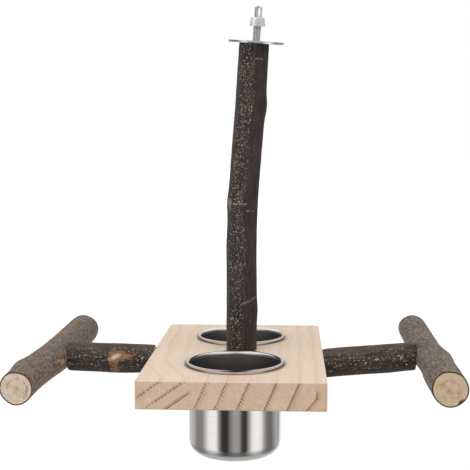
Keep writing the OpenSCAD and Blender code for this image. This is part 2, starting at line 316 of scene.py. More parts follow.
def pine_board():
    """Planed pine, glued from two staves, with rings on its ends and faint figure on top."""
    f = Finish("planed_pine")
    p = f.moved(f.place(), scale=(PER_MM,) * 3, location=[-c * PER_MM for c in BOARD_TOP])
    x, y, z = f.parts(p)
    depth = y + BOARD_HALF.y * PER_MM
    normal = f.node("ShaderNodeNewGeometry", None, (), "Normal")
    end_face = f.parts(normal)[1].size().between(0.6, 0.85)
    pores = f.noise(p, 1.3, 4.0, 0.7)
    drift = f.noise(p, (0.012,) * 3, 1.0) - 0.5
    stave = x.between(STAVE_JOINT - 0.15, STAVE_JOINT + 0.15)
    # Saw marks run down to the right across the end grain, and coarser beads along its rings
    saw = ((x * 0.80 + z * 0.60) * (2 * math.pi / 1.45) + pores).sine()
    wander = f.noise(p, (0.2,) * 3, 2.0)
    bead = ((x * 0.82 + z * 0.57) * (2 * math.pi / 2.4) + pores * 2.0 + wander * 12.0).sine()
    comb = ((x * 0.70 + z * 0.71) * (2 * math.pi / 1.9) + wander * 6.0).sine()
    shake = (pores - 0.5) * 1.2

    # Each ring of the wide stave has a sharp left edge and fades to the right
    straight = x - z * 0.444
    bend = straight.between(45.5, 49.5)
    bent = x - (z + 9.8).smaller(0.0) * 0.84
    wide = straight * (1 - bend) + bent * bend
    wide = wide + drift * (depth + 20.0) * 0.05 + shake + saw * 0.15 * end_face
    wide_ring = rings(f, wide, -30.0, 70.0, (WIDE_RINGS, WIDE_SHAPE))
    wide_ring = wide_ring * (1 - bend * z.between(-6.5, -4.0) * end_face)
    teeth = comb.between(-0.4, 0.5) * x.between(34.0, 20.0) + x.between(20.0, 34.0) * 0.55
    sharp = wide_ring.between(0.75, 0.95) * (x.between(0.0, 16.0) * 0.45 + 0.45)
    wide_mark = sharp.larger(wide_ring * teeth)

    # The narrow stave's rings lie flatter, so they make long arches on the top face
    arch = depth.between(0.0, 75.0) * 14.0 + drift * depth * 0.1
    narrow = z - x * 0.70 - arch + shake * 0.8
    kinds = ((DRY_CRACKS, CRACK_SHAPE), (NARROW_RINGS, NARROW_SHAPE))
    narrow_ring = rings(f, narrow, 0.0, 60.0, *kinds)
    crack = narrow_ring * narrow.between(16.0, 14.0) * x.between(-24.0, -27.0) * (1 - stave)
    crack = crack * (pores.between(0.38, 0.52) * 0.5 + 0.5)
    beads = (bead + wander * 2.4 - 1.2).between(-0.6, 0.7)
    narrow_mark = narrow_ring * (beads * 0.65 + 0.3) * narrow.between(14.0, 16.0)
    narrow_mark = narrow_mark * (1 - narrow.between(34.0, 38.0) * 0.35)

    ring = narrow_ring * (1 - stave) + wide_ring * stave
    mark = narrow_mark * (1 - stave) + wide_mark * stave
    fibres = f.noise(p, (1.7, 0.03, 1.7), 4.0, 0.65)
    streaks = f.noise(p, (0.16, 0.006, 0.16), 2.0)
    tint = f.noise(p, (0.12,) * 3, 2.0, shift=(2.0, 0.0, 5.0))
    # The saw bit deepest between the third and the fourth ring
    bite = (x - 19.0).within(8.0, 9.0) * 0.42 + (x - 4.0).within(12.0, 20.0) * 0.2 + 0.1
    patchy = pores.between(0.3, 0.6) * bite * (wander.between(0.35, 0.6) * 0.6 + 0.4)
    strength = streaks.between(0.3, 0.55) * 0.25 + pores * 0.4 + 0.45

    face = f.layers(
        f.mix(fibres.between(0.32, 0.7), rgb(228, 209, 189), rgb(218, 197, 173)),
        (streaks.between(0.4, 0.68) * 0.55, rgb(218, 190, 160)),
        (ring * 0.3, rgb(200, 166, 134)),
    )
    end = f.layers(
        f.mix(pores.between(0.35, 0.68), rgb(207, 182, 159), rgb(184, 155, 131)),
        (streaks.between(0.35, 0.7) * 0.4, rgb(186, 154, 126)),
        (tint.between(0.5, 0.62) * 0.3, rgb(216, 182, 164)),
        (tint.between(0.48, 0.36) * 0.3, rgb(190, 178, 146)),
        (saw.between(-0.1, 0.8) * patchy, rgb(158, 122, 98)),
        (saw.between(-0.2, -0.9) * patchy * 0.7, rgb(230, 210, 188)),
        (x.between(52.2, 53.4) * 0.5, rgb(194, 162, 124)),
        (mark * strength, rgb(118, 72, 40)),
        (crack * 0.9, rgb(84, 50, 32)),
        # Painted shadow line along the bottom edge of the ends
        (z.between(-16.9, -17.6) * 0.4, rgb(140, 124, 112)),
    )
    # Painted shade along the rounded edges, where the top and the sides turn into the ends
    corner = end_face * (1 - end_face) * 2.2
    colour = f.mix(corner, f.mix(end_face, face, end), rgb(146, 124, 110))
    f.set(Base_Color=colour, Roughness=fibres * 0.12 + end_face * 0.1 + 0.52)
    relief = fibres * 0.5 * (1 - end_face) + (pores * 0.5 + saw * 0.15) * end_face - ring * 0.3
    return f.bump(relief, 0.2 * MM, 0.5)


# Bark and sawn wood

# These finishes read the attribute "straight": two offsets from the branch's middle line and
# the distance along it, in millimetres. A mark is a function that draws over colour and relief.


def unroll(f, p, along, facing, radius):
    """Distances along the branch and round it from one place on its bark, in millimetres.
    Facing is a direction round the branch, in degrees."""
    x, y, z = f.parts(p)
    turned = math.radians(facing)
    c, s = math.cos(turned), math.sin(turned)
    return z - along, (y * c - x * s).angle(x * c + y * s) * radius


def oval(u, s, along, across, half_along, half_across, slant=0.0):
    """Distance from an oval's middle, where 1 is its edge; slant turns it, in degrees."""
    c, d = math.cos(math.radians(slant)), math.sin(math.radians(slant))
    u, s = u - along, s - across
    return distance((u * c + s * d) / half_along, (s * c - u * d) / half_across)


def leaf_line(along, facing, half, slope, wide, share, upright=False):
    """A pale line that runs round the branch, or lengthwise if it is upright."""

    def draw(f, p, radius, tones, colour, relief):
        u, s = unroll(f, p, along, facing, radius)
        run, off = (u, s) if upright else (s, u)
        wander = (f.noise(p, 0.35) - 0.5) * 2.0
        mask = (off - run * slope + wander).within(wide, wide * 1.6)
        mask = mask * run.within(half, 1.2) * f.noise(p, 0.9, 2.0).between(0.3, 0.55)
        return f.mix(mask * share, colour, tones[3]), relief + mask * 0.3

    return draw


def twig_scar(along, facing, ovals, wood, heart=None):
    """A patch where a twig was cut, made of ovals: (along, across, half along, half across).
    The wood's tones are dark, middle and light."""

    def draw(f, p, radius, tones, colour, relief):
        u, s = unroll(f, p, along, facing, radius)
        ragged = f.noise(p, 0.5, 4.0, 0.7) - 0.5
        reach = oval(u, s, *ovals[0])
        for shape in ovals[1:]:
            reach = reach.smaller(oval(u, s, *shape))
        reach = reach + ragged * 1.2
        bare = reach.between(1.1, 0.8)
        lip = reach.between(1.35, 1.05) * reach.between(0.8, 1.0)
        streaks = f.noise(p, (1.5, 1.5, 0.35), 4.0, 0.7)
        bared = f.mix(streaks.between(0.41, 0.59), wood[0], wood[1])
        bared = f.mix(reach.between(0.6, 0.1) * 0.35, bared, wood[2])
        if heart:
            pale = (oval(u, s, *heart) + ragged * 1.2).between(1.3, 0.3)
            bared = f.mix(pale, bared, rgb(212, 188, 160))
        colour = f.layers(colour, (lip * 0.75, rgb(46, 32, 24)), (bare * 0.92, bared))
        return colour, relief * (1 - bare * 0.7) + streaks * bare * 0.5 + lip * 0.5

    return draw


def stain_and_painted_light(facing, half, tone, share):
    """A tint along one side of the branch, in ragged lengthwise patches: a real stain on the
    crossbars, painted shade and painted sheen on the arms, and a painted rim light on the post.
    """

    def draw(f, p, radius, tones, colour, relief):
        s = unroll(f, p, 0.0, facing, radius)[1]
        patch = f.noise(p, (0.3, 0.3, 0.08), 4.0, shift=(3.0, 6.0, 1.0))
        mask = s.within(half, half) * patch.between(0.3, 0.6)
        return f.mix(mask * share, colour, tone), relief

    return draw


def cracks(along, facing, half_along, half_across):
    """A patch of short dark cracks."""

    def draw(f, p, radius, tones, colour, relief):
        u, s = unroll(f, p, along, facing, radius)
        flecks = f.noise(p, (0.8, 0.8, 0.24), 2.0, distortion=1.5)
        patch = oval(u, s, 0.0, 0.0, half_along, half_across).between(1.15, 0.7)
        mask = flecks.between(0.5, 0.42) * patch
        return f.mix(mask * 0.8, colour, tones[4]), relief - mask * 0.4

    return draw


def seat_flat(along, facing):
    """The bare flat cut that seats an arm on a crossbar."""

    def draw(f, p, radius, tones, colour, relief):
        u, s = unroll(f, p, along, facing, radius)
        ragged = (f.noise(p, 0.5) - 0.5) * 2.0
        bare = (u + ragged).within(12.3, 0.8) * (s + ragged).within(6.6, 0.8)
        grain = f.noise(p, 0.8).between(0.35, 0.65)
        wood = f.mix(grain, rgb(186, 148, 114), rgb(142, 104, 74))
        return f.mix(bare * 0.9, colour, wood), relief * (1 - bare)

    return draw


def speck_layer(f, p, size, band, share, shift):
    """Lenticels: small ragged pale dots, one in some cells, thick where the band is 1."""
    spots = f.moved(p, scale=(1 / size, 1 / size, 0.85 / size), location=(shift, shift * 0.7, 0.3))
    jag = f.noise(p, 2.2 / size, 2.0) - 0.5
    near = (f.cells(spots) + jag * 0.5).between(0.42, 0.22)
    luck, shade, _ = f.parts(f.cells(spots, output="Color"))
    return near * (luck - 1 + band * share).between(0.0, 0.06), shade


def bark(name, tones, radius, bands, marks, speck, share, streak, net=0.0, contact_shadow_end=None):
    """Smooth young bark: fibres, lenticels in bands (facing, half width, strength), leaf lines.
    The tones are deep, middle, light, lenticels and the dark of the furrows, and the speck is
    the lenticels' spacing in millimetres."""
    f = Finish(name)
    p = f.straight()
    deep, mid, light, dot, furrow = tones
    z = f.parts(p)[2]
    cloud = f.noise(p, (0.11, 0.11, 0.04))
    fibres = f.noise(p, (1.5, 1.5, 0.10), 4.0, 0.7)
    grit = f.noise(p, 1.3, 4.0, 0.75)
    colour = f.layers(
        f.mix(cloud.between(0.35, 0.65), deep, mid),
        (fibres.between(0.5, 0.66) * streak, light),
        (fibres.between(0.47, 0.34) * streak, furrow),
        (grit.between(0.54, 0.7) * 0.4, light),
        (grit.between(0.45, 0.32) * 0.5, furrow),
    )
    relief = fibres * 0.4 + grit * 0.3
    if net:
        colour, relief = add_net(f, p, z, tones, net, colour, relief)

    edge = (f.noise(p, (0.2, 0.2, 0.06)) - 0.5) * 4.0
    columns = f.noise(p, (0.8, 0.8, 0.07), 2.0).between(0.34, 0.52)
    band = None
    for facing, half, strength in bands:
        s = unroll(f, p, 0.0, facing, radius)[1]
        reach = (s + edge).within(half, 2.4) * strength
        band = reach if band is None else band.larger(reach)
    band = (band * (columns * 0.5 + 0.5)).larger(0.05)
    fine, shade = speck_layer(f, p, speck, band, share, 3.1)
    coarse, coarse_shade = speck_layer(f, p, speck * 1.6, band, share * 0.3, 8.3)
    seams = (f.noise(p, (0.24, 0.24, 0.018), 1.0) - 0.5).within(0.006, 0.006)
    colour = f.layers(
        colour,
        (fine * (shade * 0.7 + 0.2), dot),
        (coarse * (coarse_shade * 0.5 + 0.3), dot),
        (seams * 0.3, light),
    )
    relief = relief + fine * 0.4 + coarse * 0.5 + seams * 0.2
    for mark in marks:
        colour, relief = mark(f, p, radius, tones, colour, relief)
    # Painted contact shadow, with the dark bark edge, in a narrow ring where the arm's end meets
    # its crossbar
    if contact_shadow_end is not None:
        near = (z - contact_shadow_end + grit * 0.8 - 0.4).within(0.7, 0.9)
        colour = f.mix(near * 0.75, colour, rgb(28, 20, 16))
    f.set(Base_Color=colour, Roughness=0.6 + grit * 0.25, Specular_IOR_Level=0.35)
    return f.bump(relief, 0.4 * MM, 0.7)


def add_net(f, p, z, tones, net, colour, relief):
    """Short flecks that wind round the branch both ways, over olive, mauve and rusty patches."""
    patches = (
        (4.0, rgb(94, 86, 70)), (9.0, rgb(106, 94, 91)), (15.0, rgb(116, 88, 68)),
    )
    for shift, tone in patches:
        patch = f.noise(p, (0.13, 0.13, 0.05), shift=(shift, 1.0, 0.0))
        colour = f.mix(patch.between(0.48, 0.62) * net * 0.75, colour, tone)
    strands = []
    for twist, shift in ((0.045, 0.0), (-0.038, 7.0)):
        values = {"Vector": p, "Angle": z * twist}
        wound = f.node("ShaderNodeVectorRotate", {"rotation_type": "Z_AXIS"}, values)
        strands.append(f.noise(wound, (1.0, 1.0, 0.21), 3.0, 0.7, shift=(shift, 0.0, 0.0)))
    high = strands[0].larger(strands[1])
    low = strands[0].smaller(strands[1])
    colour = f.layers(
        colour,
        (high.between(0.54, 0.64) * net * 0.85, tones[3]),
        (low.between(0.46, 0.37) * net * 0.85, tones[4]),
    )
    return colour, relief * 0.6 + high * 0.5 * net - low.between(0.42, 0.3) * 0.3 * net


def sawn_wood(name, pale, brown, edge, heart, ring_radius, bruise=None):
    """A branch's sawn end: speckled grain, a faint ring, a pith and maybe a bruised edge."""
    f = Finish(name)
    p = f.straight()
    x, y, _ = f.parts(p)
    blotch = f.noise(p, 0.22)
    warm = f.noise(f.moved(p, location=(5.0, 9.0, 0.0)), 0.3, 2.0)
    out = distance(x - heart[0], y - heart[1]) + (blotch - 0.5) * 5.0
    grain = f.noise(p, 1.0, 4.0, 0.75)
    specks = f.cells(f.moved(p, (0.95,) * 3)).between(0.4, 0.2)
    ring = (out - ring_radius).within(0.5, 1.2) * blotch.between(0.45, 0.6)
    colour = f.layers(
        f.mix(blotch.between(0.38, 0.62), pale, brown),
        (warm.between(0.5, 0.64) * 0.5, rgb(200, 164, 140)),
        (warm.between(0.48, 0.36) * 0.5, rgb(184, 178, 156)),
        (grain.between(0.47, 0.34) * 0.75, rgb(124, 100, 76)),
        (grain.between(0.53, 0.66) * 0.7, rgb(230, 212, 192)),
        (specks * 0.35, rgb(140, 116, 92)),
        (ring * 0.6, rgb(136, 104, 72)),
        (out.between(ring_radius, ring_radius + 3.0) * 0.4, edge),
        (out.between(3.4, 0.6) * 0.4, rgb(160, 134, 104)),
        (out.between(1.0, 0.5) * 0.6, rgb(126, 104, 80)),
    )
    if bruise:
        worn = oval(x, y, *bruise) + (grain - 0.5) * 0.8
        colour = f.mix(worn.between(1.1, 0.8), colour, rgb(98, 62, 46))
    f.set(Base_Color=colour, Roughness=0.85)
    return f.bump(grain * 0.7 + specks * 0.3, 0.2 * MM, 0.5)


def bark_rim(name, dark, brown):
    """The narrow broken edge of bark round a sawn end."""
    f = Finish(name)
    p = f.straight()
    crumbs = f.noise(p, 0.9, 4.0)
    chips = f.noise(p, 0.4)
    colour = f.mix(crumbs.between(0.38, 0.62), dark, brown)
    colour = f.mix(chips.between(0.62, 0.68) * 0.7, colour, rgb(176, 154, 130))
    f.set(Base_Color=colour, Roughness=0.9)
    return f.bump(crumbs, 0.3 * MM, 0.8)


# Metal


def spun_steel():
    """Stainless sheet with fine turning lines round the cup."""
    f = Finish("spun_stainless")
    p = f.place()
    lines = f.noise(p, (30, 30, 5200), 3.0, 0.7)
    smudge = f.noise(p, (60,) * 3, 2.0)
    # The inside is satin, and its colour is darkened half way to grey as painted shade inside the
    # cup: it lies within the wall's radius from either cup's axis
    x, y, _ = f.parts(f.moved(p, location=(-BOARD_TOP.x, 0.0, 0.0)))
    off = y.size() - CUP_AXIS
    out = distance(x, off)
    inside = out.between(CUP_INSIDE, CUP_INSIDE - 0.2 * MM)
    tone = f.mix(lines.between(0.3, 0.7), rgb(207, 204, 201), rgb(195, 192, 189))
    # Painted reflection of the board and its shade: the rolled rim's outer half is darker and
    # warmer
    tone = f.mix(out.between(RIM_SHADE_START, RIM_SHADE_FULL), tone, rgb(160, 147, 139))
    f.set(
        Base_Color=f.mix(inside * 0.5, tone, rgb(140, 139, 138)),
        Metallic=1.0,
        Roughness=0.05 + lines * 0.06 + smudge * 0.04 + inside * 0.2,
    )
    return f.bump(lines, 0.02 * MM, 0.2)


def zinc_plate(name, share, rough, tone=0.9):
    """Zinc plate with a faint cloudiness. The share is how much of it mirrors."""
    f = Finish(name)
    p = f.place()
    cloud = f.noise(p, (420,) * 3, 4.0, 0.7)
    f.set(
        Base_Color=f.mix(cloud.between(0.35, 0.7), grey(tone), grey(tone * 0.84)),
        Metallic=share,
        Roughness=cloud * 0.2 + rough,
    )
    return f.bump(cloud, 0.03 * MM, 0.3)


# Modelling


def object_mode():
    if bpy.context.object and bpy.context.object.mode != "OBJECT":
        bpy.ops.object.mode_set(mode="OBJECT")


def edit_mode():
    bpy.ops.object.mode_set(mode="EDIT")


def edit_all():
    """Opens the active piece for editing, all selected."""
    edit_mode()
    bpy.ops.mesh.select_all(action="SELECT")


def select_none():
    object_mode()
    bpy.ops.object.select_all(action="DESELECT")


def begin(name):
    """Names the primitive that was just added and opens it for editing, all selected."""
    piece = bpy.context.object
    piece.name = name
    piece.data.name = name
    bpy.ops.object.transform_apply(location=True, rotation=True, scale=True)
    select_mode("EDGE")
    edit_all()
    return piece


def select_mode(kind):
    bpy.context.tool_settings.mesh_select_mode = [kind == k for k in ("VERT", "EDGE", "FACE")]


def pick(piece, kind, vertices, edges, faces):
    """Selects what the three lists say, and returns to edit mode."""
    mesh = piece.data
    for parts, chosen in ((mesh.vertices, vertices), (mesh.edges, edges), (mesh.polygons, faces)):
        parts.foreach_set("select", chosen or [False] * len(parts))
    select_mode(kind)
    edit_mode()


def pick_faces(piece, test):
    """Selects the faces whose (centre, normal) pass the test."""
    object_mode()
    chosen = [bool(test(f.center, f.normal)) for f in piece.data.polygons]
    pick(piece, "FACE", None, None, chosen)


def pick_edges(piece, test):
    """Selects the edges whose two ends pass the test."""
    object_mode()
    mesh = piece.data
    points = [v.co for v in mesh.vertices]
    chosen = [bool(test(*(points[i] for i in e.vertices))) for e in mesh.edges]
    ends = {i for edge, hit in zip(mesh.edges, chosen) if hit for i in edge.vertices}
    pick(piece, "EDGE", [i in ends for i in range(len(points))], chosen, None)


def inset(*widths):
    for width in widths:
        bpy.ops.mesh.inset(thickness=width)


def extrude(step):
    bpy.ops.mesh.extrude_region_move(TRANSFORM_OT_translate={"value": step})


def resize(x, y, z, centre=(0.0, 0.0, 0.0)):
    bpy.ops.transform.resize(value=(x, y, z), center_override=centre)


def turn(axis, angle, centre=(0.0, 0.0, 0.0)):
    """Turns the selection by the right-hand rule; without a window the operator turns back."""
    bpy.ops.transform.rotate(value=-angle, orient_axis=axis, center_override=centre)


def lean_on_stud(centre=(0.0, 0.0, 0.0)):
    """Leans the selection from upright onto the stud's axis."""
    turn("X", STUD_NOD, centre)
    turn("Y", STUD_LEAN, centre)


def face_outwards():
    """Points all faces outwards and leaves edit mode."""
    bpy.ops.mesh.select_all(action="SELECT")
    bpy.ops.mesh.normals_make_consistent(inside=False)
    object_mode()


def apply_modifier(piece, kind, **settings):
    """Adds a modifier, sets it and applies it at once."""
    object_mode()
    bpy.context.view_layer.objects.active = piece
    modifier = piece.modifiers.new(kind.lower(), kind)
    for key, value in settings.items():
        setattr(modifier, key, value)
    bpy.ops.object.modifier_apply(modifier=modifier.name)


def paint(piece, *materials):
    piece.data.materials.clear()
    for material in materials:
        piece.data.materials.append(material)


def finish_piece(piece, body, slot, *nodes):
    """Smooth shading, then the piece rides on its body and stands for its CAD nodes."""
    select_none()
    piece.select_set(True)
    bpy.context.view_layer.objects.active = piece
    bpy.ops.object.shade_smooth_by_angle(angle=math.radians(32))
    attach(piece, body)
    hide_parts(*nodes)


# Branches


class Route:
    """The middle line of a CAD branch, read from its mesh along one axis. The far end may be
    sawn aslant, along a plane (point, normal)."""

    def __init__(self, node, axis, far_plane=None):
        mesh = frame["nodes"][node].data
        self.points = np.array([v.co for v in mesh.vertices])
        self.axis = axis
        self.sides = [i for i in range(3) if i != axis]
        self.start = self.points[:, axis].min()
        self.stop = self.points[:, axis].max()
        if far_plane:
            point, normal = far_plane
            middle = self.middle(self.stop)
            gap = sum((middle[k] - point[i]) * normal[i] for k, i in enumerate(self.sides))
            self.stop = point[axis] - gap / normal[axis]
        count = max(8, round((self.stop - self.start) / RING_STEP))
        self.stations = np.linspace(self.start, self.stop, count + 1)
        raw = np.array([self.middle(s) for s in self.stations])
        ends = np.pad(raw, ((2, 2), (0, 0)), mode="edge")
        self.line = sum(ends[i : i + len(raw)] for i in range(5)) / 5
        forward = Vector([float(i == axis) for i in range(3)])
        far_normal = far_plane[1] if far_plane else forward
        self.ends = ((self.spot(0), -forward), (self.spot(count), far_normal))

    def middle(self, station):
        near = self.points[np.abs(self.points[:, self.axis] - station) < 1.1 * RING_STEP]
        near = near[:, self.sides] if len(near) else self.points[:, self.sides]
        return (near.min(0) + near.max(0)) / 2

    def spot(self, i):
        """The middle of ring i, in the row frame."""
        return Vector(np.insert(self.line[i], self.axis, self.stations[i]))

    def girth(self):
        """The largest distance of the CAD branch's surface from its middle line."""
        offsets = self.straighten(self.points)[:, :2] * MM
        return float(np.hypot(*offsets.T).max())

    def straighten(self, points):
        """Points as if the branch were straight: two offsets from its middle line and the
        distance along it from its start, all in millimetres."""
        along = points[:, self.axis]
        offsets = [
            points[:, side] - np.interp(along, self.stations, self.line[:, k])
            for k, side in enumerate(self.sides)
        ]
        return np.stack([*offsets, along - self.start], axis=1) / MM


AXIS_TURN = ((0.0, math.pi / 2, 0.0), (-math.pi / 2, 0.0, 0.0), (0.0, 0.0, 0.0))


def branch(node, axis, slot, materials, proud, far_plane=None, creases=(0.85, 0.85)):
    """A tube drawn ring by ring along the CAD branch, fitted to it, with sawn ends and relief.
    Proud is how far the bark stands out on average, in millimetres."""
    route = Route(node, axis, far_plane)
    select_none()
    bpy.ops.mesh.primitive_circle_add(
        vertices=BRANCH_SIDES, radius=route.girth() + 0.5 * MM, location=route.spot(0),
        rotation=AXIS_TURN[axis],
    )
    piece = begin(node + "_branch")
    paint(piece, *materials)
    for i in range(1, len(route.stations)):
        extrude(route.spot(i) - route.spot(i - 1))
    if far_plane:
        lean_on_stud(route.ends[1][0])
    apply_modifier(
        piece, "SHRINKWRAP", target=frame["nodes"][node], wrap_method="NEAREST_SURFACEPOINT"
    )
    for (point, normal), crease in zip(route.ends, creases):
        close_end(piece, point, normal, crease)
    face_outwards()
    apply_modifier(piece, "SUBSURF", levels=2, render_levels=2)
    roughen(piece, route, proud)
    note_straight(piece, route)
    finish_piece(piece, "stand", slot, node)


def close_end(piece, point, normal, crease):
    """Fills the open end on a plane, creases its edge, and insets the bark's rim and the wood."""

    def at_end(*ends):
        return all(abs((end - point).dot(normal)) < 0.9 * MM for end in ends)

    pick_edges(piece, at_end)
    bpy.ops.transform.edge_crease(value=crease)
    bpy.ops.mesh.edge_face_add()
    select_mode("FACE")
    inset(BARK_THICKNESS, *SAWN_INSETS)
    object_mode()
    mesh = piece.data
    for face in mesh.polygons:
        if at_end(face.center) and abs(face.normal.dot(normal)) > 0.8:
            away = [(mesh.vertices[v].co - point).length for v in face.vertices]
            narrow = len(away) == 4 and max(away) - min(away) < 1.6 * BARK_THICKNESS
            face.material_index = 1 if narrow and min(away) > 6.0 * MM else 2
    edit_mode()


# Heights of the bark's long ridges and small warts, and the stretch over which both fade
# towards an end, in millimetres

RIDGE = 0.16
WART = 0.09
END_FADE = 2.5


def roughen(piece, route, proud):
    """Pushes the bark in and out by a fraction of a millimetre, in long ridges and small warts."""
    mesh = piece.data
    points = np.array([v.co for v in mesh.vertices])
    normals = np.array([v.normal for v in mesh.vertices])
    straight = route.straighten(points)
    on_wall = np.abs(normals[:, route.axis]) < 0.5
    length = (route.stop - route.start) / MM
    edge = np.minimum(straight[:, 2], length - straight[:, 2])
    fade = np.clip(edge / END_FADE, 0, 1) * on_wall
    seed = Vector((route.start * 3000, route.line[0][0] * 5000, 7.0))
    lift = np.zeros(len(points))
    for k in np.nonzero(fade > 0)[0]:
        s = straight[k]
        ridge = noise.noise(Vector((s[0] * 0.45, s[1] * 0.45, s[2] * 0.07)) + seed)
        wart = noise.noise(Vector((s[0] * 0.9, s[1] * 0.9, s[2] * 0.5)) + seed)
        lift[k] = RIDGE * ridge + WART * wart + proud
    points += normals * (lift * fade * MM)[:, None]
    mesh.vertices.foreach_set("co", points.ravel())
    mesh.update()


def note_straight(piece, route):
    """Stores the straightened coordinates, which the wood and bark finishes read."""
    mesh = piece.data
    points = np.array([v.co for v in mesh.vertices])
    straight = mesh.attributes.new("straight", "FLOAT_VECTOR", "POINT")
    straight.data.foreach_set("vector", route.straighten(points).astype(np.float32).ravel())


def palette(*colours):
    return tuple(rgb(*colour) for colour in colours)


# Tones of the branches: deep, middle, light, lenticels and furrows

POST_TONES = palette((37, 30, 28), (49, 40, 37), (78, 68, 63), (172, 161, 149), (24, 18, 16))
ARM_TONES = palette((36, 29, 24), (49, 40, 33), (96, 83, 74), (200, 187, 171), (24, 17, 14))
LEFT_BAR_TONES = palette((76, 63, 54), (96, 81, 71), (124, 110, 98), (160, 144, 128), (34, 25, 20))
RIGHT_BAR_TONES = palette(
    (80, 73, 62), (102, 94, 82), (128, 119, 105), (164, 152, 135), (34, 28, 22)
)

# Bared wood: dark, middle and light

KNOT_WOOD = palette((98, 78, 62), (136, 114, 95), (150, 128, 108))
SCAR_WOOD = palette((88, 56, 34), (154, 114, 80), (172, 140, 110))
SPOT_WOOD = palette((140, 102, 70), (184, 146, 114), (198, 164, 132))

# Sawn ends: pale, brown and edge, and their rims of bark: dark and brown

DARK_SAWN = palette((206, 190, 168), (180, 158, 132), (198, 176, 148))
LEFT_SAWN = palette((206, 188, 170), (190, 170, 149), (198, 182, 160))
RIGHT_SAWN = palette((190, 168, 140), (170, 146, 117), (194, 170, 136))
DARK_RIM = palette((40, 31, 26), (86, 60, 44))
LEFT_RIM = palette((46, 36, 29), (82, 62, 47))
RIGHT_RIM = palette((40, 28, 20), (76, 50, 34))

# Marks, placed along each branch from its lower, left or front end. Round the post, 270 faces
# the front and 180 the left; on the arms, 180 faces the front; on the crossbars, 90 is up.

POST_MARKS = (
    leaf_line(104.8, 257, 5.6, 0.0, 0.5, 0.42),
    leaf_line(204.9, 296, 2.9, 0.0, 0.35, 0.45),
    leaf_line(100.0, 292, 1.3, 0.1, 0.4, 0.36),
    leaf_line(99.7, 314, 1.4, 0.0, 0.4, 0.3),
    leaf_line(36.5, 302, 6.2, 0.36, 0.8, 0.33),
    leaf_line(86.4, 276, 0.9, 0.2, 0.4, 0.9),
    leaf_line(68.1, 284, 6.7, 0.0, 0.4, 0.3, upright=True),
    twig_scar(105.6, 215, ((0.0, 0.0, 3.4, 2.6), (-3.6, 1.0, 2.4, 1.2)), KNOT_WOOD),
    # Painted rim light: a paler grey-green band down the left side of the post
    stain_and_painted_light(200, 3.0, rgb(72, 71, 66), 0.6),
)
LEFT_ARM_MARKS = (
    twig_scar(
        0.0, 180,
        (
            (34.2, -2.5, 4.4, 7.0), (38.4, -3.4, 5.6, 4.2), (43.0, -3.0, 6.2, 2.0),
            (34.8, 6.8, 3.4, 5.0),
        ),
        SCAR_WOOD,
        heart=(35.6, -2.7, 4.6, 1.7, -24),
    ),
    # Painted shade along the underside of the arm and a painted sheen along its top
    stain_and_painted_light(265, 10.0, rgb(38, 30, 25), 0.55),
    stain_and_painted_light(112, 8.0, rgb(104, 94, 87), 0.35),
)
RIGHT_ARM_MARKS = (
    # Painted shade along the underside of the arm and a painted sheen along its top
    stain_and_painted_light(265, 10.0, rgb(38, 30, 25), 0.8),
    stain_and_painted_light(112, 8.0, rgb(104, 94, 88), 0.4),
)
LEFT_BAR_MARKS = (
    stain_and_painted_light(322, 8.0, rgb(130, 96, 68), 0.55),
    stain_and_painted_light(65, 7.0, rgb(126, 104, 84), 0.35),
    seat_flat(100.7, 0),
    twig_scar(76.0, 3, ((0.0, 0.0, 6.5, 2.4), (-7.0, 2.6, 4.0, 1.4)), SPOT_WOOD),
    twig_scar(183.0, 323, ((0.0, 0.0, 4.5, 1.6),), SPOT_WOOD),
)
RIGHT_BAR_MARKS = (
    stain_and_painted_light(205, 6.0, rgb(136, 98, 76), 0.5),
    seat_flat(99.2, 180),
    twig_scar(85.0, 176, ((0.0, 0.0, 6.0, 1.8),), KNOT_WOOD),
    cracks(94.0, 118, 24.0, 4.2),
)

# Where the lenticels lie thick: facing, half width in millimetres and strength

POST_BANDS = ((247, 6.0, 1.0), (75, 6.0, 0.8))
LEFT_BANDS = ((166, 2.6, 1.0), (204, 2.0, 0.8), (141, 3.2, 0.6), (20, 6.0, 0.4))
RIGHT_BANDS = ((169, 3.4, 1.0), (207, 1.6, 0.7), (145, 3.0, 0.4), (20, 6.0, 0.4))
BAR_BANDS = ((90, 9.0, 0.2),)

# Radii to which the bark is unrolled, and how far it stands out from the solid, in millimetres

POST_RADIUS, ARM_RADIUS, BAR_RADIUS = 10.4, 10.1, 11.4
POST_PROUD, ARM_PROUD, BAR_PROUD = 0.15, 0.2, -0.04


